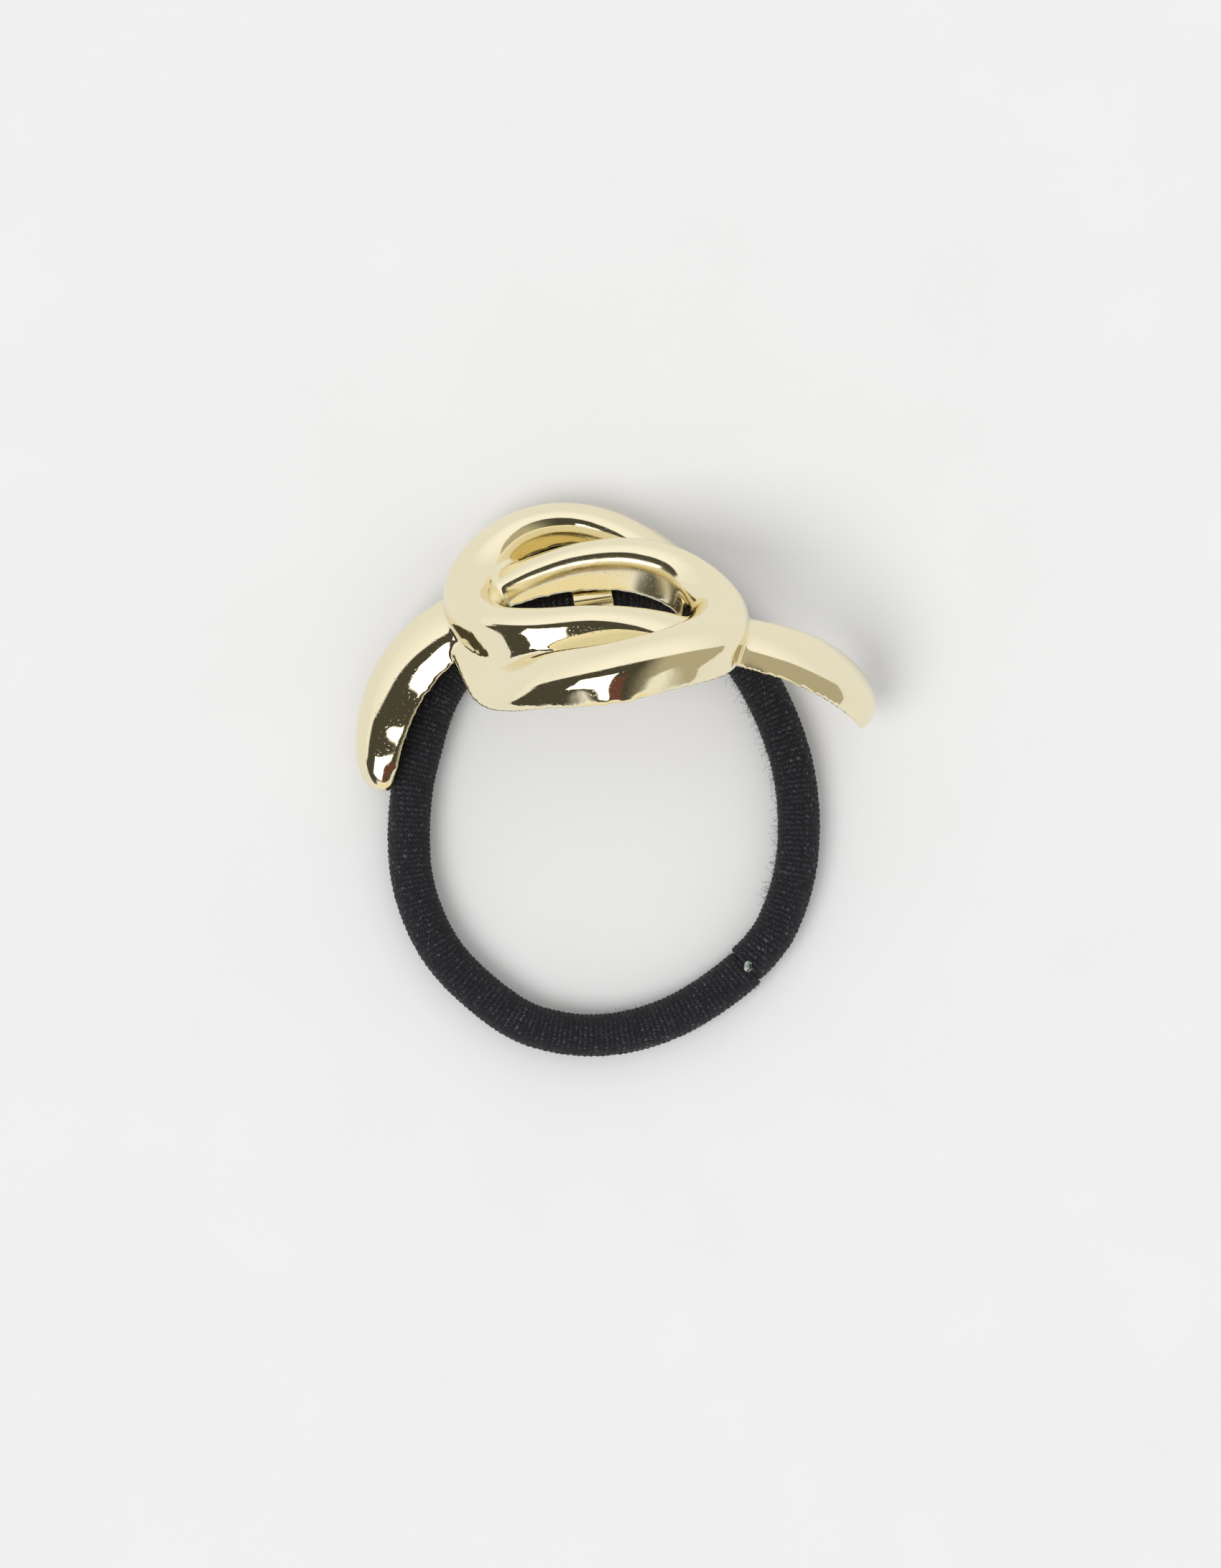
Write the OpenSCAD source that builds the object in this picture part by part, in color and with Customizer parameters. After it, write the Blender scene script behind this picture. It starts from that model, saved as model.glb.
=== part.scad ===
// Hair tie: a covered elastic ring with a cast knot cuff, lying on a table.

/* [Elastic ring] */
// Diameter of the covered elastic
elastic_d = 5; // [4:0.1:6]
// Number of sides of the elastic's section
elastic_sides = 12; // [8:1:16]
// Gap between the two ends at the butt joint
joint_gap = 0.2; // [0.1:0.1:0.6]

/* [Knot cuff] */
// Width of the cuff from horn to horn
cuff_w = 60.5; // [57:0.5:64]
// Length of the cuff across that, over its two hooks
cuff_l = 36.0; // [33:0.1:38]
// Depth of the cuff from the tips of its horns to the top of its relief
cuff_h = 25.4; // [23:0.1:27]
// Radius that the cuff is bent to, at its back edge
bend_r = 28; // [26:0.5:32]
// Thickness of the cast metal
wall = 1.2; // [0.8:0.1:1.3]
// Turn of the knot's pattern against the line of the horns, in degrees
weave_turn = -18; // [-24:1:-12]
// Extra height of the whole relief
relief = 0; // [0:0.1:1]

/* [Lie of the cuff] */
// How far the front of the cuff leans back from straight up, in degrees
lean_back = 53; // [50:1:56]
// Turn of the leaning direction round the upright, in degrees
lean_turn = 9.5; // [7:0.5:12]
// Spin of the cuff about its own front axis, in degrees
cuff_spin = 12; // [9:0.5:15]

/* [Sleeve] */
// Width of the sleeve along the elastic
sleeve_w = 4.5; // [3:0.5:6]
// Thickness of the sleeve's strip
sleeve_t = 0.6; // [0.4:0.1:1]
// Clearance between the strip and the elastic
sleeve_gap = 0.1; // [0.05:0.05:0.3]

/* [Glue] */
// Diameter of the glue drop
glue_d = 1.4; // [1:0.1:2]
// Height of the glue drop
glue_h = 0.5; // [0.3:0.1:0.8]

/* [Hidden] */
gold = [0.93, 0.86, 0.62];
black = [0.09, 0.09, 0.1];
glue = [0.85, 0.87, 0.78];
// Place of the middle of the cuff's back edge
cuff_at = [-2.4, 19.1, 14.47];
// Outside of the sleeve, its place up the back of the cuff and its gap below the knot's back edge
sleeve_side = elastic_d + 2 * (sleeve_gap + sleeve_t);
sleeve_up = 7;
seat_gap = 0.3;
// Height of the elastic's centre line where it lies on the table
lying = elastic_d / 2;
// One hook of the knot, from where it leaves the horn to where it ends under the other hook.
// Each row: along the bend, across it, height, crest to inner edge, crest to outer edge, lean of outer side
hook_rows = [
    [ 17.4, -2.1, 2.0, 2.0, 1.6,  0],
    [ 13.2,  2.4, 1.2, 1.6, 4.8, 10],
    [  9.8,  6.4, 1.9, 1.5, 5.6, 12],
    [  4.4,  9.8, 4.4, 1.4, 4.5, 16],
    [ -2.0, 12.2, 5.8, 1.4, 3.4, 12],
    [ -7.8, 11.6, 6.5, 1.6, 3.2,  0],
    [-12.4,  8.0, 6.6, 2.4, 3.6,  4],
    [-13.3,  2.8, 6.7, 3.0, 2.9, 14],
    [-10.0, -2.1, 6.9, 1.8, 1.9, 22],
    [ -5.0, -4.8, 6.6, 1.7, 2.0, 22],
    [  1.0, -5.6, 5.8, 1.7, 1.8, 22],
    [  6.4, -5.6, 4.6, 1.7, 2.6, 24],
    [ 10.8, -5.4, 3.4, 1.7, 4.4, 24]];
// One horn, with the same columns, in the cuff's own directions, and how far both horns sit down the back
horn_rows = [
    [12.0,  -9.4, 4.0, 4.4, 2.4, 0],
    [18.0, -10.0, 4.3, 4.0, 3.0, 0],
    [24.0,  -9.8, 4.4, 3.7, 3.6, 0],
    [30.0,  -8.8, 4.2, 3.8, 3.9, 0],
    [34.0,  -7.6, 3.8, 3.6, 3.6, 0],
    [36.2,  -6.8, 2.9, 2.6, 2.6, 0],
    [37.2,  -6.4, 1.6, 1.2, 1.2, 0]];
// Rings that a hollow leaves out at a strand's first and last end
hollow_ends = [1, 4];
horn_drop = 1;
// Least height of the upright part of a strand's side
lip = 0.3;
// How far the strands run past the cuff's back before it is cut off, and the flats round the bend
past_back = 1;
bend_sides = 144;
hook_steps = 4;
horn_steps = 3;
arc_steps = 4;
// Elastic's centre line: across, along, height, from the joint by the left side back to the joint
route = [
    [ 15.1, -21.5, lying], [ 11.8, -24.1, lying], [  8.4, -26.3, lying], [  5.1, -27.8, lying],
    [  1.8, -28.8, lying], [ -3.2, -29.5, lying], [ -8.1, -28.6, lying], [-11.5, -27.5, lying],
    [-15.9, -24.2, lying], [-19.3, -20.9, lying], [-21.4, -17.6, lying], [-22.8, -14.3, lying],
    [-23.7, -10.9, lying], [-24.1,  -5.9, lying], [-23.6,  -1.0, lying], [-23.4,   0.7, lying],
    [-22.5,   4.0, lying], [-21.6,   7.4, lying], [-20.1,  10.8, lying], [-17.6,  14.0, 2.8],
    [-13.9,  16.8, 4.0], [ -9.7,  18.9, 5.6], [ -5.9,  19.9, 6.63], [ -4.1,  20.25, 6.78],
    [ -2.65, 20.5, 6.78], [ -1.2,  20.75, 6.78], [  0.7,  21.0, 6.63], [  4.5,  20.9, 5.7],
    [  8.6,  19.6, 4.2], [ 12.2,  17.0, 3.1], [ 14.9,  13.9, 2.6], [ 17.1,  10.3, lying],
    [ 19.0,   6.1, lying], [ 20.2,   2.3, lying], [ 20.8,  -1.1, lying], [ 21.1,  -5.1, lying],
    [ 20.8,  -9.3, lying], [ 20.1, -12.6, lying], [ 18.9, -15.9, lying], [ 17.2, -19.1, lying],
    [ 15.1, -21.5, lying]];
route_steps = 2;
// Radius of the drop's dome, and the gap under it
glue_round = (glue_d * glue_d / 4 + glue_h * glue_h) / (2 * glue_h);
glue_seat = 0.05;

// A row between two rows of a table, on a smooth curve through all of them
function smooth_row(rows, i, t) =
    let (b = rows[i], c = rows[i + 1],
         a = i > 0 ? rows[i - 1] : 2 * b - c,
         d = i + 2 < len(rows) ? rows[i + 2] : 2 * c - b)
    0.5 * (2 * b + (c - a) * t + (2 * a - 5 * b + 4 * c - d) * t * t + (3 * b - a - 3 * c + d) * t * t * t);
function smooth(rows, steps) =
    [for (i = [0 : len(rows) - 2]) for (k = [0 : steps - 1]) smooth_row(rows, i, k / steps), rows[len(rows) - 1]];
function unit(v) = v / norm(v);
// Direction of a smooth line at one of its points
function along(line, i) = unit(line[min(i + 1, len(line) - 1)] - line[max(i - 1, 0)]);

// Wraps a point of the flat pattern round the cuff's bend
function bend(p) =
    let (angle = p[0] / bend_r * 180 / PI, r = bend_r + p[2])
    [r * sin(angle), p[1], r * cos(angle) - bend_r];
// One side of a strand's section, from its foot up to the crest, taken in by the wall for the hollow
function quarter(h, width, lean, take_in, foot) =
    let (out = width - take_in, rise = min(h - lip, width) - take_in, base = max(h - width, lip),
         low = base + rise * sin(lean), angles = [for (k = [0 : arc_steps]) lean + (90 - lean) * k / arc_steps])
    concat([[out * cos(lean) + (low - foot) * tan(lean), foot]],
           [for (a = angles) [out * cos(a), base + rise * sin(a)]]);
// Section of a strand: a round top, an upright inner side and a leaning outer side
function section(h, inner, outer, lean, take_in, foot) =
    let (left = quarter(h, inner, 0, take_in, foot), right = quarter(h, outer, lean, take_in, foot))
    concat([for (p = left) [-p[0], p[1]]], [for (k = [len(right) - 2 : -1 : 0]) right[k]]);
// A row with its place turned in the flat pattern
function turned(row, angle) =
    concat([row[0] * cos(angle) - row[1] * sin(angle), row[0] * sin(angle) + row[1] * cos(angle)],
           [for (k = [2 : len(row) - 1]) row[k]]);
// Rings of points of a strand round the bend
function strand_rings(line, take_in, foot) =
    [for (i = [0 : len(line) - 1])
        let (row = line[i], dir = along([for (r = line) [r[0], r[1]]], i), side = [dir[1], -dir[0]])
        [for (p = section(row[2] + relief, row[3], row[4], row[5], take_in, foot))
            bend([row[0] + side[0] * p[0], row[1] + side[1] * p[0], p[1]])]];

// Closed solid through rings of points
module skin(rings) {
    n = len(rings[0]);
    last = len(rings) - 1;
    polyhedron(
        points = [for (ring = rings) each ring],
        faces = concat(
            [[for (k = [0 : n - 1]) k]],
            [for (i = [0 : last - 1]) for (k = [0 : n - 1])
                [i * n + k, (i + 1) * n + k, (i + 1) * n + (k + 1) % n, i * n + (k + 1) % n]],
            [[for (k = [n - 1 : -1 : 0]) last * n + k]]),
        convexity = 8);
}

// One strand, or its hollow where take_in is the wall: a hollow stops short of the strand's ends
module strand(rows, steps, turn, take_in, foot) {
    line = smooth([for (row = rows) turned(row, turn)], steps);
    ends = take_in > 0 ? hollow_ends : [0, 0];
    rings = strand_rings(line, take_in, foot);
    skin([for (i = [ends[0] : len(rings) - 1 - ends[1]]) rings[i]]);
}

// Both halves of the cuff: the second is the first, turned half round the front axis
module halves(take_in, foot)
    for (half = [0, 180]) rotate([0, 0, half]) {
        strand(hook_rows, hook_steps, weave_turn, take_in, foot);
        translate([0, half == 0 ? -horn_drop : horn_drop, 0])
            strand(horn_rows, horn_steps, 0, take_in, foot);
    }

// Lays a thing made round the cuff's front axis where the cuff lies
module lie() translate(cuff_at) rotate([0, 0, lean_turn]) rotate([-lean_back, 0, 0]) children();

module knot() color(gold) lie() resize([cuff_w, cuff_l, cuff_h]) rotate([0, 0, cuff_spin]) difference() {
    halves(0, -past_back);
    halves(wall, -2 * past_back);
    translate([0, 0, -bend_r]) rotate([90, 0, 0])
        cylinder(r = bend_r, h = cuff_w, center = true, $fn = bend_sides);
}

// The smooth line never dips below the height where it lies
module elastic() color(black)
    skin(tube_rings([for (p = smooth(route, route_steps)) [p[0], p[1], max(p[2], lying)]]));
// Rings of a round tube along a line, with its first and last ring drawn back from the joint
function tube_rings(line) =
    [for (i = [0 : len(line) - 1])
        let (dir = along(line, i), side = unit(cross([0, 0, 1], dir)), up = cross(dir, side),
             back = i == 0 ? joint_gap / 2 : i == len(line) - 1 ? -joint_gap / 2 : 0)
        [for (k = [0 : elastic_sides - 1])
            let (angle = 360 * k / elastic_sides)
            line[i] + dir * back + elastic_d / 2 * (side * cos(angle) + up * sin(angle))]];

module sleeve() color(gold) lie() translate([0, sleeve_up, -sleeve_side / 2 - seat_gap])
    rotate([0, 90, 0]) difference() {
        cube([sleeve_side, sleeve_side, sleeve_w], center = true);
        cylinder(d = elastic_d + 2 * sleeve_gap, h = sleeve_w + 2, center = true, $fn = 48);
    }

// A round drop that sits on top of the joint
module glue_bead() color(glue)
    translate([route[0][0], route[0][1], elastic_d + glue_seat])
        rotate_extrude($fn = 48) intersection() {
            translate([0, glue_h - glue_round]) circle(r = glue_round, $fn = 96);
            square([glue_d / 2, glue_h]);
        }

knot();
sleeve();
elastic();
glue_bead();
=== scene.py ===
# A hair tie: a covered elastic ring with a polished knot cuff, lying on a pale table.
import math
import random

import bmesh
import bpy
import numpy as np
from mathutils import Matrix, Vector

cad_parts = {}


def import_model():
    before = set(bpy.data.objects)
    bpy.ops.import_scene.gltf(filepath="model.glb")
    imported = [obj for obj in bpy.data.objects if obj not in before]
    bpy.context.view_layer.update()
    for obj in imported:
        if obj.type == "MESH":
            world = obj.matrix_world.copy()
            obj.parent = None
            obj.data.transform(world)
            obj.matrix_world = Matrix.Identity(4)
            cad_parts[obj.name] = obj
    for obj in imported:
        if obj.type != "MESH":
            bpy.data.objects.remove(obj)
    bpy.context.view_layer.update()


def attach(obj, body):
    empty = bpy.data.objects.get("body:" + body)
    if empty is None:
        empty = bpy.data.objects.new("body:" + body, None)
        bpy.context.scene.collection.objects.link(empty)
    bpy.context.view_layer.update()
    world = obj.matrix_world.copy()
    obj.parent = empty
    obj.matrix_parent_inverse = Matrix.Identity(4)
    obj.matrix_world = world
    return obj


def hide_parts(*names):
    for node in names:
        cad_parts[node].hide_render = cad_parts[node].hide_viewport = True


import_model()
scene = bpy.context.scene
mm = 0.001
turn = math.radians
degrees = 180 / math.pi  # in a radian


# Camera: straight above the table, as the photograph was taken

camera = {
    "middle": (-0.7, -0.3),  # where the photograph's middle falls on the table, in mm
    "height": 700.0,
    "tall": 182.0,  # what the photograph's long side covers at table height
    "sensor": 36.0,
    "sees": (0.01, 20.0),  # from how near to how far, in metres
}


def addCamera():
    data = bpy.data.cameras.new("photoView")
    data.sensor_fit = "VERTICAL"
    data.sensor_height = camera["sensor"]
    data.lens = camera["sensor"] * camera["height"] / camera["tall"]
    data.clip_start, data.clip_end = camera["sees"]
    obj = link("photoView", data)
    obj.location = [v * mm for v in (*camera["middle"], camera["height"])]
    scene.camera = obj


# Shared making: smooth lines through table rows, solids through rings, cuts, modifiers made real

def smoothRow(rows, i, t):
    # a row between two rows of a table, on a smooth curve through all of them
    b, c = rows[i], rows[i + 1]
    a = rows[i - 1] if i else 2 * b - c
    d = rows[i + 2] if i + 2 < len(rows) else 2 * c - b
    bend = 2 * a - 5 * b + 4 * c - d
    twist = 3 * b - a - 3 * c + d
    return 0.5 * (2 * b + (c - a) * t + bend * t ** 2 + twist * t ** 3)


def smoothLine(rows, steps):
    rows = [np.array(row, float) for row in rows]
    spans = range(len(rows) - 1)
    return np.array([smoothRow(rows, i, k / steps) for i in spans for k in range(steps)] + [rows[-1]])


def directions(line):
    along = np.gradient(line, axis=0)
    return along / np.linalg.norm(along, axis=1)[:, None]


def solidThrough(rings, seam=1e-4):
    # a grid laid on the rings, with its seam merged and its two ends filled
    rings = np.asarray(rings)
    count, around = rings.shape[:2]
    looped = np.concatenate([rings, rings[:, :1]], axis=1).reshape(-1, 3)
    bm = bmesh.new()
    bmesh.ops.create_grid(bm, x_segments=around, y_segments=count - 1, size=1)
    for vert, point in zip(bm.verts, looped):
        vert.co = point
    bmesh.ops.remove_doubles(bm, verts=bm.verts[:], dist=seam)
    bmesh.ops.holes_fill(bm, edges=[e for e in bm.edges if e.is_boundary], sides=0)
    bmesh.ops.recalc_face_normals(bm, faces=bm.faces[:])
    return bm


def meshFrom(name, bm):
    mesh = bpy.data.meshes.new(name)
    bm.to_mesh(mesh)
    bm.free()
    return mesh


def link(name, data):
    obj = bpy.data.objects.new(name, data)
    scene.collection.objects.link(obj)
    return obj


def readPoints(mesh):
    points = np.empty(len(mesh.vertices) * 3)
    mesh.vertices.foreach_get("co", points)
    return points.reshape(-1, 3)


def baked(obj, spare=()):
    # the object's mesh with its modifiers made real; the object and its helpers are deleted
    bpy.context.view_layer.update()
    graph = bpy.context.evaluated_depsgraph_get()
    mesh = bpy.data.meshes.new_from_object(obj.evaluated_get(graph))
    for old in (obj, *spare):
        bpy.data.objects.remove(old)
    return mesh


def combine(base, tools, how):
    for tool in tools:
        step = base.modifiers.new(how, "BOOLEAN")
        step.operation = how
        step.object = tool
        step.solver = "MANIFOLD"


def piece(name, mesh, material, nodes=()):
    mesh.name = name
    mesh.shade_smooth()
    mesh.materials.clear()
    mesh.materials.append(material)
    obj = link(name, mesh)
    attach(obj, "root")
    if nodes:
        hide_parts(*nodes)
    print(name, sum(len(p.vertices) - 2 for p in mesh.polygons), "triangles")
    return obj


# The elastic: a round core under a knitted cover

elastic = {  # millimetres and degrees
    "radius": 2.5,
    "core": 2.39,
    "coreSides": 24,
    "coreStep": 1.0,
    "steps": 8,
    "smoothing": 50,  # how often the route's points are drawn towards their neighbours
    "drawn": 0.25,  # and by what share each time
    "gap": 0.005,  # half the gap between the two ends at the joint
    "pitch": 0.6,  # one row of stitches
    "columns": 36,
    "leg": (0.52, 0.23, 0.2),  # length, width and height of one of a stitch's two legs
    "legLean": 24.0,
    "legSides": 4,
    "legSteps": 2,
    "loose": (0.12, 0.03),  # how far a stitch strays along the elastic, and by what share in height
    "endRound": 0.8,  # length over which each end tapers, and by what share
    "endTaper": 0.07,
    "endStep": 0.35,  # how far the last end sits outward of the first, and over what length
    "endStepLength": 5.0,
    "seed": 7,
}
lying = elastic["radius"]  # height of the elastic's middle where it lies on the table
route = [  # across, along and height, from the joint by the left side back to the joint
    (15.1, -21.5, lying), (11.8, -24.1, lying), (8.4, -26.3, lying), (5.1, -27.8, lying),
    (1.8, -28.8, lying), (-3.2, -29.5, lying), (-8.1, -28.6, lying), (-11.5, -27.5, lying),
    (-15.9, -24.2, lying), (-19.3, -20.9, lying), (-21.4, -17.6, lying), (-22.8, -14.3, lying),
    (-23.7, -10.9, lying), (-24.1, -5.9, lying), (-23.6, -1.0, lying), (-23.4, 0.7, lying),
    (-22.5, 4.0, lying), (-21.6, 7.4, lying), (-20.1, 10.8, lying), (-17.6, 14.0, 2.8),
    (-13.9, 16.8, 4.0), (-9.7, 18.9, 5.6), (-5.9, 19.9, 6.63), (-4.1, 20.25, 6.78),
    (-2.65, 20.5, 6.78), (-1.2, 20.75, 6.78), (0.7, 21.0, 6.63), (4.5, 20.9, 5.7),
    (8.6, 19.6, 4.2), (12.2, 17.0, 3.1), (14.9, 13.9, 2.6), (17.1, 10.3, lying),
    (19.0, 6.1, lying), (20.2, 2.3, lying), (20.8, -1.1, lying), (21.1, -5.1, lying),
    (20.8, -9.3, lying), (20.1, -12.6, lying), (18.9, -15.9, lying), (17.2, -19.1, lying),
    (15.1, -21.5, lying)]


def evened(line):
    # the line with each point drawn towards its neighbours, over and over, and its ends kept
    line = line.copy()
    for _ in range(elastic["smoothing"]):
        line[1:-1] += elastic["drawn"] * (line[:-2] - 2 * line[1:-1] + line[2:])
    return line


def ringFrames():
    # points along the ring, their distance from the joint, and the level and upright directions across it
    line = smoothLine(route, elastic["steps"])
    line[:, 2] = np.maximum(line[:, 2], lying)
    flat = evened(line[:, :2])
    line[:, :2] = flat + evened(line[:, :2] - flat)  # the second part gives back what the bends lost
    along = directions(line)
    atJoint = along[0] + along[-1]
    along[[0, -1]] = atJoint / np.linalg.norm(atJoint)  # so that the two ends face each other
    level = np.cross((0.0, 0.0, 1.0), along)
    level /= np.linalg.norm(level, axis=1)[:, None]
    spans = np.linalg.norm(np.diff(line, axis=0), axis=1)
    return {"line": line, "level": level, "upright": np.cross(along, level),
            "distance": np.concatenate([[0.0], np.cumsum(spans)])}


def wrapped(points, ring):
    # points laid out straight, x along the elastic, y across it and z up, wrapped onto the ring in metres
    at, total = points[:, 0], ring["distance"][-1]
    nearEnd = np.clip(1 - np.minimum(at, total - at) / elastic["endRound"], 0, 1)
    share = (1 - elastic["endTaper"] * nearEnd ** 2)[:, None]
    outward = elastic["endStep"] * np.clip(1 - (total - at) / elastic["endStepLength"], 0, 1)[:, None]
    line, level, upright = [
        np.stack([np.interp(at, ring["distance"], ring[name][:, k]) for k in range(3)], axis=1)
        for name in ("line", "level", "upright")]
    across = points[:, 1:2] * share - outward
    return mm * (line + level * across + upright * points[:, 2:3] * share)


def coreMesh(ring):
    length = ring["distance"][-1] - 2 * elastic["gap"]
    count = round(length / elastic["coreStep"])
    angles = np.linspace(0, math.tau, elastic["coreSides"], endpoint=False)
    circle = elastic["core"] * np.stack([np.cos(angles), np.sin(angles)], axis=1)
    rings = [[(elastic["gap"] + length * i / count, y, z) for y, z in circle] for i in range(count + 1)]
    return meshFrom("core", solidThrough(rings))


def stitchMesh(ring):
    # one V of two slanted legs, spun into a row, and the rows arrayed along the elastic
    length = ring["distance"][-1] - 2 * elastic["gap"]
    rows = int(length / elastic["pitch"])
    pitch = length / rows
    columns = elastic["columns"]
    span = math.tau * elastic["radius"] / columns
    halfLeg = [size / 2 for size in elastic["leg"]]
    bm = bmesh.new()
    for way in (-1, 1):
        place = (elastic["gap"] + pitch / 2, way * span / 4, elastic["radius"] - halfLeg[2])
        lean = Matrix.Rotation(turn(way * elastic["legLean"]), 4, "Z")
        size = Matrix.Diagonal((*halfLeg, 1))
        lie = Matrix.Rotation(turn(90), 4, "Y")  # the ball's poles point along the leg
        bmesh.ops.create_uvsphere(bm, u_segments=elastic["legSides"], v_segments=elastic["legSteps"],
                                  radius=1, matrix=Matrix.Translation(place) @ lean @ size @ lie)
    legPoints = len(bm.verts) // 2
    bmesh.ops.spin(bm, geom=bm.verts[:] + bm.edges[:] + bm.faces[:], cent=(0, 0, 0), axis=(1, 0, 0),
                   angle=math.tau * (columns - 1) / columns, steps=columns - 1, use_duplicate=True)
    obj = link("stitches", meshFrom("stitches", bm))
    repeat = obj.modifiers.new("rows", "ARRAY")
    repeat.count = rows
    repeat.use_relative_offset = False
    repeat.use_constant_offset = True
    repeat.constant_offset_displace = (pitch, 0, 0)
    return baked(obj), legPoints


def addElastic(material):
    ring = ringFrames()
    rng = np.random.default_rng(elastic["seed"])
    core = coreMesh(ring)
    stitches, legPoints = stitchMesh(ring)
    points = readPoints(stitches)
    legs = np.arange(len(points)) // legPoints
    count = legs[-1] + 1
    along, high = elastic["loose"]
    points[:, 0] += rng.uniform(-along, along, count)[legs]
    points[:, 1:] *= 1 + rng.uniform(-high, 0, count)[legs][:, None]
    stitches.vertices.foreach_set("co", wrapped(points, ring).ravel())
    core.vertices.foreach_set("co", wrapped(readPoints(core), ring).ravel())
    bm = bmesh.new()
    bm.from_mesh(core)
    corePoints = len(bm.verts)
    bm.from_mesh(stitches)
    mesh = meshFrom("elasticCover", bm)
    shade = mesh.attributes.new("thread", "FLOAT", "POINT")  # a shade for each leg, and the dark core
    shade.data.foreach_set("value", np.concatenate([np.zeros(corePoints), rng.random(count)[legs]]))
    cover = piece("elasticCover", mesh, material, ["elastic"])
    print("elastic length", round(float(ring["distance"][-1]), 1), "mm")
    return ring


# The lint: fine hairs that stand off the cover

lint = {  # millimetres
    "radius": 0.012,
    "root": 0.97,  # where a hair starts, as a share of the cover's radius
    "lean": (1.0, 0.5, 0.5),  # how differently the hairs lean along the elastic, across it and up
    "curl": 0.75,  # how far they lean from straight out, and how much they waver on their way
    "waver": 0.6,
    "patches": [  # share of the ring, angles round the cover, how many hairs, how long, and points of each
        ((0.72, 0.95), (130, 215), 400, (0.5, 1.9), 6),
        ((0.08, 0.14), (140, 200), 30, (0.4, 1.2), 6),
        ((0.0, 1.0), (-180, 180), 200, (0.3, 0.9), 5),
        ((0.0, 1.0), (-180, 180), 1500, (0.15, 0.4), 3),
        ((0.0, 0.006), (-180, 180), 60, (0.3, 0.7), 4),
        ((0.994, 1.0), (-180, 180), 60, (0.3, 0.7), 4)],
    "seed": 11,
}


def addLint(ring, material):
    # short hairs all round, and the longest ones on the inner side of the ring's right-hand stretch
    rand = random.Random(lint["seed"])
    data = bpy.data.curves.new("lintHairs", "CURVE")
    data.dimensions = "3D"
    data.bevel_depth = lint["radius"] * mm
    data.bevel_resolution = 0
    total = ring["distance"][-1]
    for (low, high), (fromTurn, toTurn), count, (shortest, longest), steps in lint["patches"]:
        for _ in range(count):
            at = total * rand.uniform(low, high)
            angle = turn(rand.uniform(fromTurn, toTurn))
            length = rand.uniform(shortest, longest)
            outward = Vector((0, math.cos(angle), math.sin(angle)))
            lean = Vector([rand.gauss(0, wide) for wide in lint["lean"]])
            way = (outward + lint["curl"] * lean).normalized()
            spot = Vector((at, 0, 0)) + elastic["radius"] * lint["root"] * outward
            hair = data.splines.new("POLY")
            hair.points.add(steps - 1)
            spots = []
            for _ in range(steps):
                spots.append(tuple(spot))
                way = (way + lint["waver"] * Vector([rand.gauss(0, 1) for _ in range(3)])).normalized()
                spot = spot + way * length / steps
            for point, co in zip(hair.points, wrapped(np.array(spots), ring)):
                point.co = (*co[:2], max(co[2], 2 * data.bevel_depth), 1)  # none goes into the table
    return piece("lintHairs", baked(link("lintHairs", data)), material)


# The knot cuff: two hooks that lock into each other and two horns, hollow behind, in one casting

knot = {  # millimetres and degrees, in the cuff's own directions before it leans
    "size": (60.2, 36.0, 25.4),  # from horn to horn, over the two hooks, and in depth
    "bend": 28.0,  # radius that the cuff is bent to, at its back edge
    "wall": 1.2,
    "weaveTurn": -18.0,  # turn of the hooks against the line of the horns
    "hornDrop": 1.0,  # how far both horns sit down the cuff's back
    "innerRound": 1.8,  # how tall the rounding of a strand's inner side is, for its width
    "rounder": (6, 1.1),  # the row where the second hook is wider on its inner side, and by how much
    "place": (-2.4, 19.1, 14.47),
    "leanBack": 53.0,
    "leanTurn": 9.5,
    "spin": 12.0,  # turn in its own plane, before it gets its size and leans
    "lip": 0.3,  # least height of the upright part of a strand's side
    "pastBack": 1.0,  # how far the strands run past the cuff's back before it is cut off
    "steps": 8,
    "arcSteps": 8,
    "hollowEnds": (2, 9),  # rings that a hollow leaves out at a strand's first and last end
    "backSides": 240,
    "voxel": 0.26,
    "relax": (14, 0.5),  # how often the cast skin is smoothed, and by what share
}
hookRows = [
    # along the bend, across it, height, crest to inner edge, crest to outer edge, lean of the outer side
    (17.4, -2.1, 2.0, 2.0, 1.6, 0),
    (13.2, 2.4, 1.2, 1.6, 4.8, 10),
    (9.8, 6.4, 1.9, 1.5, 5.6, 12),
    (4.4, 9.8, 4.4, 1.4, 4.5, 16),
    (-2.0, 12.2, 5.8, 1.4, 3.4, 12),
    (-7.8, 11.6, 6.5, 1.6, 3.2, 0),
    (-12.4, 8.0, 6.6, 2.4, 3.6, 4),
    (-13.3, 2.8, 6.7, 3.0, 2.9, 14),
    (-10.0, -2.1, 6.9, 1.8, 1.9, 22),
    (-5.0, -4.8, 6.6, 1.7, 2.0, 22),
    (1.0, -5.6, 5.8, 1.7, 1.8, 22),
    (6.4, -5.6, 4.6, 1.7, 2.6, 24),
    (10.8, -5.4, 3.4, 1.7, 4.4, 24)]
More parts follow.
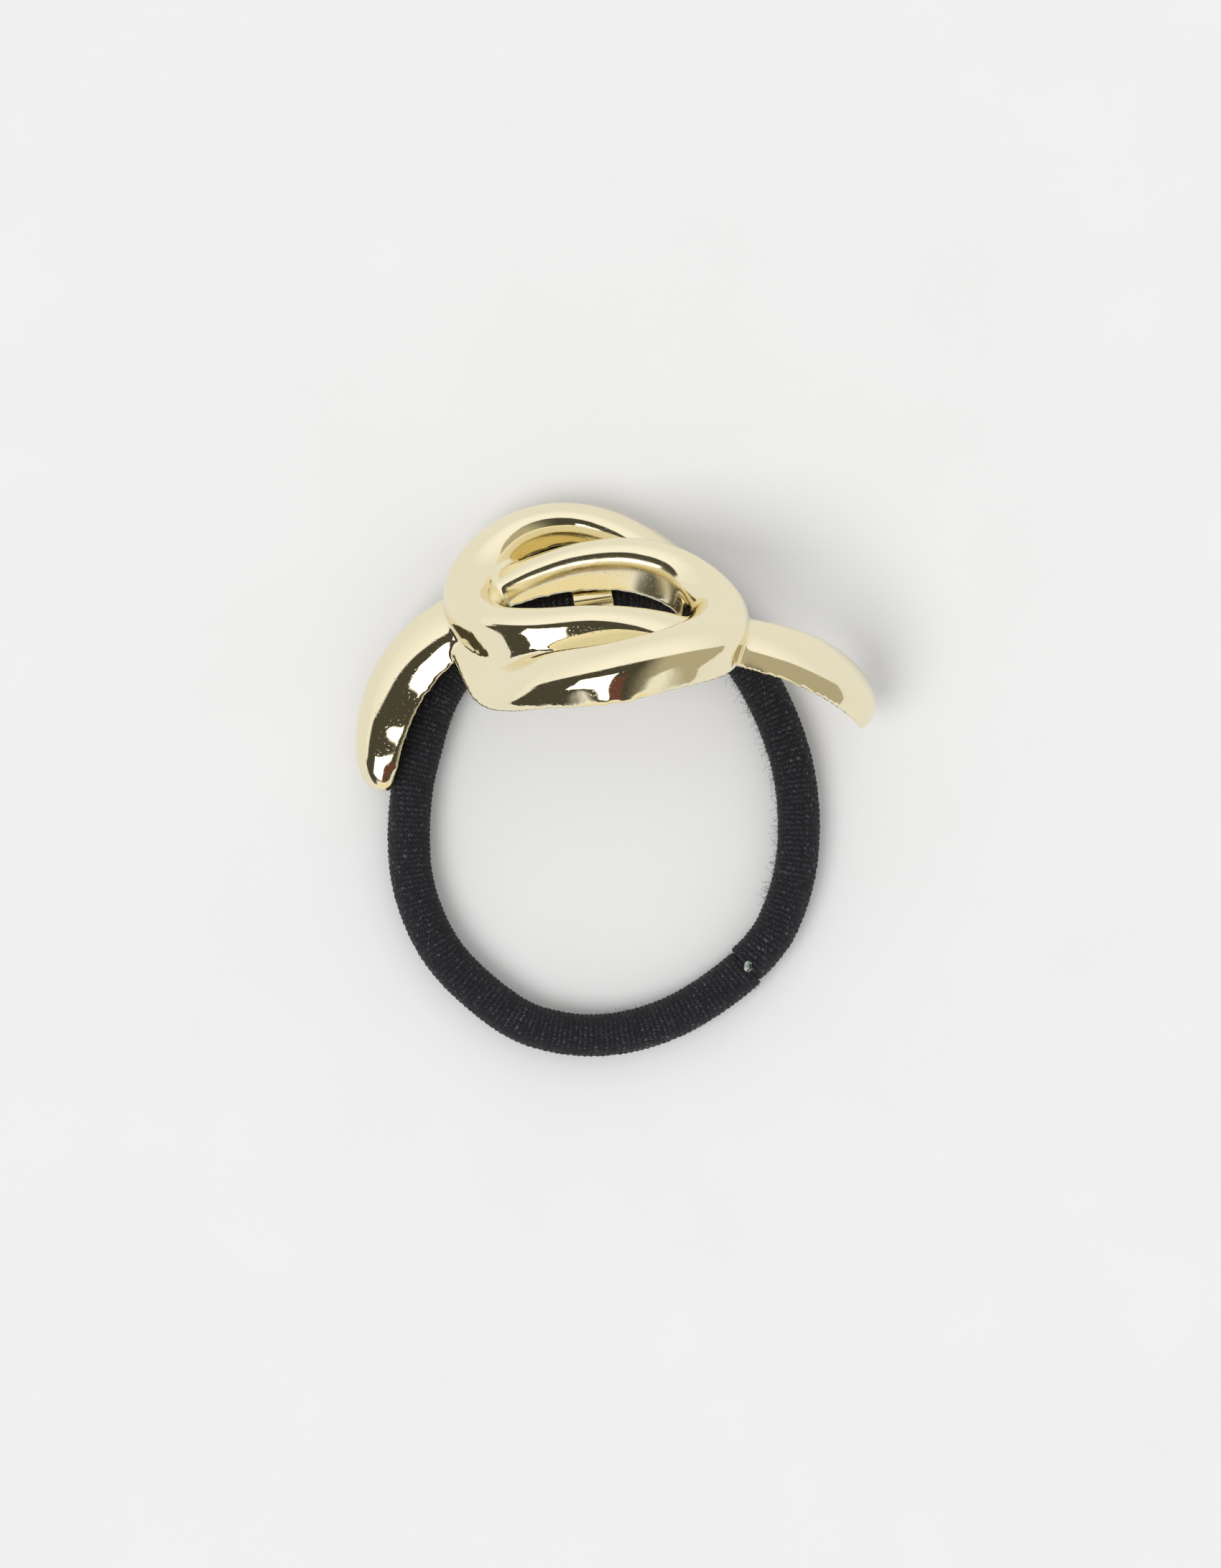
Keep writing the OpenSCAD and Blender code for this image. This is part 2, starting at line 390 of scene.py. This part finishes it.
hornRows = [
    # the first five as for a hook; then how far the crest moves towards the horn's upper side, as a share
    # of the narrower width, and how much its lower side leans, on the right-hand and on the left-hand horn
    (12.0, -9.4, 4.0, 4.4, 2.4, 0.5, 12, 30),
    (18.0, -10.0, 4.3, 4.0, 3.0, 0.55, 14, 32),
    (24.0, -9.8, 4.4, 3.7, 3.6, 0.55, 14, 32),
    (30.0, -8.8, 4.2, 3.8, 3.9, 0.38, 12, 30),
    (34.0, -7.6, 3.8, 3.6, 3.6, 0.14, 8, 26),
    (36.2, -6.8, 2.9, 2.6, 2.6, 0.0, 4, 12),
    (37.2, -6.4, 1.6, 1.2, 1.2, 0.0, 0, 0)]


def bent(u, v, out):
    # a point of the flat pattern, wrapped round the cuff's bend
    angle = u / knot["bend"]
    r = knot["bend"] + out
    return (r * math.sin(angle), v, r * math.cos(angle) - knot["bend"])


def strandSection(high, inner, outer, lean, takeIn, foot):
    # a round top between two sides of which one may lean, taken in by the wall for the hollow
    def quarter(width, way, slope):
        tall = width * (knot["innerRound"] if way < 0 else 1)
        out = width - takeIn
        rise = min(high - knot["lip"], tall) - takeIn
        base = max(high - tall, knot["lip"])
        turns = [turn(slope + (90 - slope) * k / knot["arcSteps"]) for k in range(knot["arcSteps"] + 1)]
        low = base + rise * math.sin(turns[0])
        side = out * math.cos(turns[0]) + (low - foot) * math.tan(turns[0])
        return [(way * side, foot)] + [(way * out * math.cos(a), base + rise * math.sin(a)) for a in turns]

    left, right = quarter(inner, -1, max(-lean, 0)), quarter(outer, 1, max(lean, 0))
    return left + right[-2::-1]


def strand(rows, weave, drop, half, takeIn, foot):
    # one hook or horn as a closed solid, or its hollow; the second half is the first turned half round
    spin = Matrix.Rotation(turn(weave), 2)
    rows = [(*(spin @ Vector(row[:2])), *row[2:]) for row in rows]
    line = smoothLine(rows, knot["steps"])
    along = directions(line[:, :2])
    first, last = knot["hollowEnds"] if takeIn else (0, 0)
    rings = []
    for row, way in list(zip(line, along))[first:len(line) - last]:
        rings.append([
            bent(row[0] + way[1] * across, row[1] - way[0] * across, out)
            for across, out in strandSection(*row[2:6], takeIn, foot)])
    bm = solidThrough(rings)
    bmesh.ops.rotate(bm, verts=bm.verts[:], cent=(0, 0, 0), matrix=Matrix.Rotation(turn(half), 3, "Z"))
    bmesh.ops.translate(bm, verts=bm.verts[:], vec=(0, -drop, 0))
    return link("strand", meshFrom("strand", bm))


def hookTable(side):
    # the hook's rows, with the second hook wider at one of them
    table = [list(row) for row in hookRows]
    if side < 0:
        wide, more = knot["rounder"]
        table[wide][3] += more  # from the crest to the inner edge
    return table


def hornTable(side):
    # the horn's rows with the crest moved, and with the lower side leaning from the edge that it has
    table = []
    lower = 1 if side > 0 else 0
    for u, v, high, inner, outer, share, rightLean, leftLean in hornRows:
        lean = rightLean if side > 0 else leftLean
        shift = side * share * min(inner, outer)
        widths = [inner - shift, outer + shift]
        reach = (knot["lip"] + (high - knot["lip"]) * math.sin(turn(lean))) * math.tan(turn(lean))
        widths[lower] = (widths[lower] - reach) / math.cos(turn(lean))
        table.append((u, v + shift, high, *widths, side * lean))
    return table


def strands(takeIn, foot):
    made = []
    for side, half in ((1, 0), (-1, 180)):  # the right-hand half, and the left-hand one
        made.append(strand(hookTable(side), knot["weaveTurn"], 0, half, takeIn, foot))
        made.append(strand(hornTable(side), 0, knot["hornDrop"], half, takeIn, foot))
    return made


def lieMatrix():
    # from the cuff's own directions, in millimetres, to where it lies on the table, in metres
    place = Matrix.Diagonal((mm, mm, mm, 1)) @ Matrix.Translation(knot["place"])
    turned = place @ Matrix.Rotation(turn(knot["leanTurn"]), 4, "Z")
    return turned @ Matrix.Rotation(turn(-knot["leanBack"]), 4, "X")


eye = {  # the box round the walls of the knot's eye, in millimetres along and across the pattern
    "half": 12.5,
    "foot": -3.0,
    "head": 11.5,
    "upright": (0.45, 0.7),  # how far outward the normal points: less on a wall, more on a strand's top
}


def eyeWalls(mesh):
    # how far each point lies on a wall of the knot's eye, where the polishing wheel doesn't reach
    points = readPoints(mesh)
    normals = np.empty(points.size)
    mesh.vertex_normals.foreach_get("vector", normals)
    low, high = eye["upright"]
    upright = np.clip((high - normals.reshape(-1, 3)[:, 2]) / (high - low), 0, 1)
    u, v = np.array(Matrix.Rotation(turn(-knot["spin"]), 2)) @ points[:, :2].T
    inside = np.clip([eye["half"] - abs(u), v - eye["foot"], eye["head"] - v], 0, 1)
    return upright * np.prod(inside, axis=0)


def addKnot(material):
    solid, *others = strands(0, -knot["pastBack"])
    hollows = strands(knot["wall"], -2 * knot["pastBack"])  # deeper than the strands, so open behind
    bm = bmesh.new()
    across = Matrix.Translation((0, 0, -knot["bend"])) @ Matrix.Rotation(turn(90), 4, "X")
    bmesh.ops.create_cone(bm, segments=knot["backSides"], radius1=knot["bend"], radius2=knot["bend"],
                          depth=2 * knot["bend"], cap_ends=True, matrix=across)
    back = link("back", meshFrom("back", bm))
    combine(solid, others, "UNION")
    combine(solid, [*hollows, back], "DIFFERENCE")
    mesh = baked(solid, [*others, *hollows, back])
    mesh.transform(Matrix.Rotation(turn(knot["spin"]), 4, "Z"))
    have = np.ptp(readPoints(mesh), axis=0)
    mesh.transform(Matrix.Diagonal((*[want / size for want, size in zip(knot["size"], have)], 1)))
    solid = link("cast", mesh)
    cast = solid.modifiers.new("cast", "REMESH")  # one skin, with every edge and corner rounded as cast
    cast.mode = "VOXEL"
    cast.voxel_size = knot["voxel"]
    relax = solid.modifiers.new("relax", "SMOOTH")
    relax.iterations, relax.factor = knot["relax"]
    mesh = baked(solid)
    mesh.attributes.new("eyeWall", "FLOAT", "POINT").data.foreach_set("value", eyeWalls(mesh))
    mesh.transform(lieMatrix())
    return piece("knotCuff", mesh, material, ["knot"])


# The sleeve that holds the cuff to the elastic

sleeve = {  # millimetres
    "width": 4.5,  # along the elastic
    "thick": 0.6,
    "clear": 0.1,  # all round the elastic
    "boreSides": 64,
    "up": 7.0,  # its place up the back of the cuff
    "gap": 0.3,  # below the knot's back edge
    "corner": (1.5, 8),  # radius and steps of its long corners, and of its rims
    "rim": (0.15, 3),
}


def addSleeve(material):
    width = sleeve["width"]
    bore = elastic["radius"] + sleeve["clear"]
    side = 2 * (bore + sleeve["thick"])
    bm = bmesh.new()
    bmesh.ops.create_cube(bm, size=1, matrix=Matrix.Diagonal((width, side, side, 1)))
    for isLong, (radius, steps) in ((True, sleeve["corner"]), (False, sleeve["rim"])):
        edges = [e for e in bm.edges if (abs(e.verts[0].co.x - e.verts[1].co.x) > width / 2) == isLong]
        bmesh.ops.bevel(bm, geom=edges, offset=radius, affect="EDGES", segments=steps, profile=0.5,
                        material=-1)
    band = link("band", meshFrom("band", bm))
    bm = bmesh.new()
    bmesh.ops.create_cone(bm, segments=sleeve["boreSides"], radius1=bore, radius2=bore, depth=2 * width,
                          cap_ends=True, matrix=Matrix.Rotation(turn(90), 4, "Y"))
    plug = link("plug", meshFrom("plug", bm))
    combine(band, [plug], "DIFFERENCE")
    mesh = baked(band, [plug])
    mesh.transform(lieMatrix() @ Matrix.Translation((0, sleeve["up"], -side / 2 - sleeve["gap"])))
    return piece("sleeveBand", mesh, material, ["sleeve"])


# The glue at the joint

glue = {  # millimetres
    "size": (0.5, 0.68, 0.3),
    "shift": (0.05, 0.2),  # from the joint
    "above": 0.02,  # its middle above the elastic
    "fineness": 3,
    "lumps": 9,
    "lump": 0.22,  # how far a lump pushes out or in, as a share of the size
    "narrow": 3,  # the higher, the narrower each lump
    "seed": 5,
}


def addGlue(material):
    rand = random.Random(glue["seed"])
    bm = bmesh.new()
    bmesh.ops.create_icosphere(bm, subdivisions=glue["fineness"], radius=1)
    lumps = []
    for _ in range(glue["lumps"]):
        way = Vector([rand.gauss(0, 1) for _ in range(3)]).normalized()
        lumps.append((way, rand.uniform(-1, 1)))
    for vert in bm.verts:
        way = vert.co.normalized()
        push = sum(much * max(way.dot(at), 0) ** glue["narrow"] for at, much in lumps)
        vert.co = way * (1 + glue["lump"] * push)
    shift = glue["shift"]
    high = 2 * elastic["radius"] + glue["above"]
    place = Matrix.Translation((route[0][0] + shift[0], route[0][1] + shift[1], high))
    matrix = Matrix.Diagonal((mm, mm, mm, 1)) @ place @ Matrix.Diagonal((*glue["size"], 1))
    bmesh.ops.transform(bm, verts=bm.verts[:], matrix=matrix)
    return piece("glueDrop", meshFrom("glueDrop", bm), material, ["glue_bead"])


# Materials: scales are on the piece's own coordinates, in metres

def newMaterial(name):
    material = bpy.data.materials.new(name)
    material.use_nodes = True
    tree = material.node_tree
    return material, tree, tree.nodes["Principled BSDF"]


def addNode(tree, kind, **values):
    node = tree.nodes.new(kind)
    for name, value in values.items():
        if name in node.inputs:
            node.inputs[name].default_value = value
        else:
            setattr(node, name, value)
    return node


def addNoise(tree, scale, detail):
    where = addNode(tree, "ShaderNodeTexCoord")
    noise = addNode(tree, "ShaderNodeTexNoise", Scale=scale, Detail=detail)
    tree.links.new(where.outputs["Object"], noise.inputs["Vector"])
    return noise.outputs["Fac"]


def addShades(tree, value, shades, shader):
    # the shader's colour, from a row of shades and where each one stands
    ramp = addNode(tree, "ShaderNodeValToRGB")
    stops = ramp.color_ramp.elements
    for i, (place, color) in enumerate(shades):
        stop = stops[i] if i < 2 else stops.new(place)  # a new ramp has two
        stop.position = place
        stop.color = (*color, 1)
    tree.links.new(value, ramp.inputs["Fac"])
    tree.links.new(ramp.outputs["Color"], shader.inputs["Base Color"])


def addBump(tree, value, strength, height, shader):
    bump = addNode(tree, "ShaderNodeBump", Strength=strength, Distance=height)
    tree.links.new(value, bump.inputs["Height"])
    tree.links.new(bump.outputs["Normal"], shader.inputs["Normal"])


castMarks = {  # what both golds share
    "waveDetail": 1.0,
    "pitDetail": 0.0,
    "pitFrom": 0.7,  # where the noise becomes a pit, and where the pit is full
    "pitTo": 0.78,
    "pitDepth": 0.6,  # against the height of a wave
    "height": 0.0004,  # of a wave, in metres
}


def castMarksGroup():
    # slow waves left by polishing, and small pits: a height for bump and a mask for roughness
    group = bpy.data.node_groups.new("castMarks", "ShaderNodeTree")
    for name in ("Wave Scale", "Pit Scale", "Pit Depth"):
        group.interface.new_socket(name, in_out="INPUT", socket_type="NodeSocketFloat")
    for name in ("Height", "Pits"):
        group.interface.new_socket(name, in_out="OUTPUT", socket_type="NodeSocketFloat")
    start = addNode(group, "NodeGroupInput")
    end = addNode(group, "NodeGroupOutput")
    where = addNode(group, "ShaderNodeTexCoord")
    waves = addNode(group, "ShaderNodeTexNoise", Detail=castMarks["waveDetail"])
    pits = addNode(group, "ShaderNodeTexNoise", Detail=castMarks["pitDetail"])
    sparse = addNode(group, "ShaderNodeMapRange", interpolation_type="SMOOTHSTEP")
    sparse.inputs["From Min"].default_value = castMarks["pitFrom"]
    sparse.inputs["From Max"].default_value = castMarks["pitTo"]
    depth = addNode(group, "ShaderNodeMath", operation="MULTIPLY")
    height = addNode(group, "ShaderNodeMath", operation="SUBTRACT")
    for output, socket in (
            (where.outputs["Object"], waves.inputs["Vector"]),
            (where.outputs["Object"], pits.inputs["Vector"]),
            (start.outputs["Wave Scale"], waves.inputs["Scale"]),
            (start.outputs["Pit Scale"], pits.inputs["Scale"]),
            (pits.outputs["Fac"], sparse.inputs["Value"]),
            (sparse.outputs["Result"], depth.inputs[0]),
            (start.outputs["Pit Depth"], depth.inputs[1]),
            (waves.outputs["Fac"], height.inputs[0]),
            (depth.outputs["Value"], height.inputs[1]),
            (height.outputs["Value"], end.inputs["Height"]),
            (sparse.outputs["Result"], end.inputs["Pits"])):
        group.links.new(output, socket)
    return group


gold = {
    "cast": {
        "color": (0.905, 0.825, 0.59, 1),
        "rough": (0.045, 0.16),  # where it is polished, and in its pits
        "satin": 0.12,  # how much rougher the walls of the eye are
        "waves": 260.0,
        "pits": 3800.0,
        "bump": 0.035,
    },
    "sheet": {
        "color": (0.84, 0.73, 0.45, 1),
        "rough": (0.12, 0.28),
        "satin": 0.0,
        "waves": 500.0,
        "pits": 5200.0,
        "bump": 0.08,
    },
}


def goldMaterial(name, look, marks):
    material, tree, shader = newMaterial(name)
    shader.inputs["Metallic"].default_value = 1.0
    shader.inputs["Base Color"].default_value = look["color"]
    group = addNode(tree, "ShaderNodeGroup", node_tree=marks)
    group.inputs["Wave Scale"].default_value = look["waves"]
    group.inputs["Pit Scale"].default_value = look["pits"]
    group.inputs["Pit Depth"].default_value = castMarks["pitDepth"]
    rough = addNode(tree, "ShaderNodeMapRange")
    rough.inputs["To Min"].default_value, rough.inputs["To Max"].default_value = look["rough"]
    wall = addNode(tree, "ShaderNodeAttribute", attribute_name="eyeWall")
    satin = addNode(tree, "ShaderNodeMath", operation="MULTIPLY_ADD")
    satin.inputs[1].default_value = look["satin"]
    tree.links.new(group.outputs["Pits"], rough.inputs["Value"])
    tree.links.new(wall.outputs["Fac"], satin.inputs[0])
    tree.links.new(rough.outputs["Result"], satin.inputs[2])
    tree.links.new(satin.outputs["Value"], shader.inputs["Roughness"])
    addBump(tree, group.outputs["Height"], look["bump"], castMarks["height"], shader)
    return material


thread = {
    "shades": [  # most legs dark, and a few light flecks
        (0.0, (0.009, 0.0085, 0.0115)),
        (0.86, (0.041, 0.039, 0.048)),
        (1.0, (0.13, 0.128, 0.14))],
    "fibres": (9000.0, 2.0),  # scale and detail
    "bump": (0.5, 0.0001),  # strength, and height in metres
    "rough": 0.85,
    "shine": 0.3,
    "sheen": 0.12,
    "sheenRough": 0.5,
}


def threadMaterial():
    material, tree, shader = newMaterial("blackThread")
    shade = addNode(tree, "ShaderNodeAttribute", attribute_name="thread")
    addShades(tree, shade.outputs["Fac"], thread["shades"], shader)
    addBump(tree, addNoise(tree, *thread["fibres"]), *thread["bump"], shader)
    shader.inputs["Roughness"].default_value = thread["rough"]
    shader.inputs["Specular IOR Level"].default_value = thread["shine"]
    shader.inputs["Sheen Weight"].default_value = thread["sheen"]
    shader.inputs["Sheen Roughness"].default_value = thread["sheenRough"]
    return material


fluff = {
    "shades": [(0.0, (0.02, 0.02, 0.022)), (1.0, (0.16, 0.155, 0.15))],
    "patches": (700.0, 2.0),  # scale and detail
    "rough": 0.9,
}


def lintMaterial():
    material, tree, shader = newMaterial("lint")
    addShades(tree, addNoise(tree, *fluff["patches"]), fluff["shades"], shader)
    shader.inputs["Roughness"].default_value = fluff["rough"]
    return material


setGlue = {
    "shades": [(0.47, (0.015, 0.025, 0.025)), (0.56, (0.42, 0.48, 0.4))],  # clear and cloudy
    "clouds": (1400.0, 2.0),
    "bump": (0.3, 0.0002),
    "rough": 0.12,
}


def glueMaterial():
    material, tree, shader = newMaterial("setGlue")
    cloudy = addNoise(tree, *setGlue["clouds"])
    addShades(tree, cloudy, setGlue["shades"], shader)
    addBump(tree, cloudy, *setGlue["bump"], shader)
    shader.inputs["Roughness"].default_value = setGlue["rough"]
    return material


# Studio: a pale floor, and a soft room with a darker wall and a window towards the photograph's foot

room = {  # brightness, and degrees: across the photograph, and from straight up towards its foot
    "ceiling": 1.04,
    "ceilingFrom": 55.0,  # height above the horizon from which the ceiling is at its full brightness
    "horizon": 0.86,
    "fill": 0.72,  # what the floor and the thread get from all round
    "keySide": 0.12,  # how much brighter the ceiling is towards the lower left
    "keyWay": (-0.6, -0.3),  # and how that is shared between left and down
    "wall": 0.07,  # its brightness at its darkest, on the left
    "sideWall": 0.47,  # and on the right
    "sideAcross": (2.0, 32.0),
    "wallTint": (1.0, 0.92, 0.7),
    "wallFrom": -78.0,
    "wallSpan": (-10.0, 62.0),
    "tallAcross": (-33.0, 36.0),  # the wall reaches lower to the left and to the right of these
    "tallTo": 115.0,
    "window": 2.3,
    "windowAcross": (-47.0, -12.0, 2.0),  # from, to and how soft its edges are
    "windowSpan": (20.0, 57.0, 2.0),
    "curtain": (0.15, 0.062, 0.05),
    "curtainAcross": (-12.0, 0.0, 5.0),
    "curtainSpan": (36.0, 62.0, 8.0),
    "low": (0.92, 0.82, 0.54),  # the warm lowest part, past the wall
    "lowAcross": (-26.0, 26.0, 15.0),
    "lowSpan": (68.0, 130.0, 12.0),
    "soft": 6.0,  # how soft the wall's edges are, and those of its tall parts
    "tallSoft": 12.0,
}


def maths(tree, operation, a, b=None):
    node = addNode(tree, "ShaderNodeMath", operation=operation)
    for socket, value in zip(node.inputs, (a, b)):
        if isinstance(value, (int, float)):
            socket.default_value = value
        elif value is not None:
            tree.links.new(value, socket)
    return node.outputs["Value"]


def rising(tree, value, low, high, start=0.0, end=1.0):
    # a soft rise between two places
    node = addNode(tree, "ShaderNodeMapRange", interpolation_type="SMOOTHSTEP")
    for name, number in (("From Min", low), ("From Max", high), ("To Min", start), ("To Max", end)):
        node.inputs[name].default_value = number
    tree.links.new(value, node.inputs["Value"])
    return node.outputs["Result"]


def past(tree, value, edge, soft):
    return rising(tree, value, edge - soft / 2, edge + soft / 2)


def before(tree, value, edge, soft):
    return maths(tree, "SUBTRACT", 1.0, past(tree, value, edge, soft))


def between(tree, value, low, high, soft):
    return maths(tree, "MULTIPLY", past(tree, value, low, soft), before(tree, value, high, soft))


def laidOver(tree, under, over, mask):
    # one colour over another; three plain numbers are a colour too
    node = addNode(tree, "ShaderNodeMix", data_type="RGBA")
    tree.links.new(mask, node.inputs["Factor"])
    for socket, color in ((node.inputs["A"], under), (node.inputs["B"], over)):
        if isinstance(color, tuple):
            socket.default_value = (*color, 1)
        else:
            tree.links.new(color, socket)
    return node.outputs["Result"]


def roomCeiling(tree, x, y, height):
    # grey, and brighter overhead and towards the key light
    toKey = [maths(tree, "MULTIPLY", axis, share) for axis, share in zip((x, y), room["keyWay"])]
    keyward = maths(tree, "MAXIMUM", maths(tree, "ADD", *toKey), 0.0)
    overhead = rising(tree, height, 0.0, room["ceilingFrom"], room["horizon"], room["ceiling"])
    bright = maths(tree, "ADD", maths(tree, "MULTIPLY", keyward, room["keySide"]), overhead)
    grey = addNode(tree, "ShaderNodeCombineXYZ")
    for socket in grey.inputs:
        tree.links.new(bright, socket)
    return grey.outputs["Vector"]


def roomWall(tree, sideways, footward):
    # the wall's colour, and where it stands: a band across the room that reaches lower at both sides
    left, right = room["tallAcross"]
    atLeft = before(tree, sideways, left, room["tallSoft"])
    atRight = past(tree, sideways, right, room["tallSoft"])
    low = between(tree, footward, room["wallSpan"][0], room["tallTo"], room["soft"])
    low = maths(tree, "MULTIPLY", maths(tree, "MAXIMUM", atLeft, atRight), low)
    stands = maths(tree, "MAXIMUM", between(tree, footward, *room["wallSpan"], room["soft"]), low)
    stands = maths(tree, "MULTIPLY", past(tree, sideways, room["wallFrom"], room["soft"]), stands)
    tint = addNode(tree, "ShaderNodeVectorMath", operation="SCALE")
    tint.inputs["Vector"].default_value = room["wallTint"]
    bright = rising(tree, sideways, *room["sideAcross"], room["wall"], room["sideWall"])
    tree.links.new(bright, tint.inputs["Scale"])
    return tint.outputs["Vector"], stands


def addRoom():
    world = bpy.data.worlds.new("room")
    scene.world = world
    world.use_nodes = True
    tree = world.node_tree
    tree.nodes.clear()
    where = addNode(tree, "ShaderNodeTexCoord")
    split = addNode(tree, "ShaderNodeSeparateXYZ")
    tree.links.new(where.outputs["Generated"], split.inputs["Vector"])
    x, y, z = split.outputs
    height, sideways = [maths(tree, "MULTIPLY", maths(tree, "ARCSINE", axis), degrees) for axis in (z, x)]
    footward = maths(tree, "ARCTAN2", maths(tree, "MULTIPLY", y, -1.0), z)
    footward = maths(tree, "MULTIPLY", footward, degrees)
    lit = laidOver(tree, roomCeiling(tree, x, y, height), *roomWall(tree, sideways, footward))
    shades = {"low": room["low"], "curtain": room["curtain"], "window": (room["window"],) * 3}
    for name, color in shades.items():  # each is laid over the ones before it
        across = between(tree, sideways, *room[name + "Across"])
        down = between(tree, footward, *room[name + "Span"])
        lit = laidOver(tree, lit, color, maths(tree, "MULTIPLY", across, down))
    seen = addNode(tree, "ShaderNodeLightPath")  # only polished metal shows the wall and window
    lit = laidOver(tree, (room["fill"],) * 3, lit, seen.outputs["Is Glossy Ray"])
    back = addNode(tree, "ShaderNodeBackground")
    out = addNode(tree, "ShaderNodeOutputWorld")
    tree.links.new(lit, back.inputs["Color"])
    tree.links.new(back.outputs["Background"], out.inputs["Surface"])


keyLight = {"from": (-0.42, -0.30, 0.86), "strength": 1.15, "wide": 34.0}


def addKey():
    # a broad soft light from the lower left, kept out of the metal's reflections
    data = bpy.data.lights.new("key", "SUN")
    data.energy = keyLight["strength"]
    data.angle = turn(keyLight["wide"])
    obj = link("key", data)
    obj.rotation_euler = Vector(keyLight["from"]).to_track_quat("Z", "Y").to_euler()
    obj.visible_glossy = False


floor = {
    "size": 1.5,  # in metres
    "shades": [(0.0, (0.83, 0.83, 0.825)), (1.0, (0.87, 0.87, 0.87))],
    "mottle": (60.0, 3.0),
    "rough": 0.7,
    "shine": 0.2,
}


def addFloor():
    bm = bmesh.new()
    bmesh.ops.create_grid(bm, x_segments=1, y_segments=1, size=floor["size"])
    obj = link("floor", meshFrom("floor", bm))
    material, tree, shader = newMaterial("paleFloor")
    addShades(tree, addNoise(tree, *floor["mottle"]), floor["shades"], shader)
    shader.inputs["Roughness"].default_value = floor["rough"]
    shader.inputs["Specular IOR Level"].default_value = floor["shine"]
    obj.data.materials.append(material)


scene.view_settings.view_transform = "Standard"
addCamera()
ring = addElastic(threadMaterial())
addLint(ring, lintMaterial())
marks = castMarksGroup()
addKnot(goldMaterial("castGold", gold["cast"], marks))
addSleeve(goldMaterial("sheetGold", gold["sheet"], marks))
addGlue(glueMaterial())
addRoom()
addKey()
addFloor()
print("pieces made")
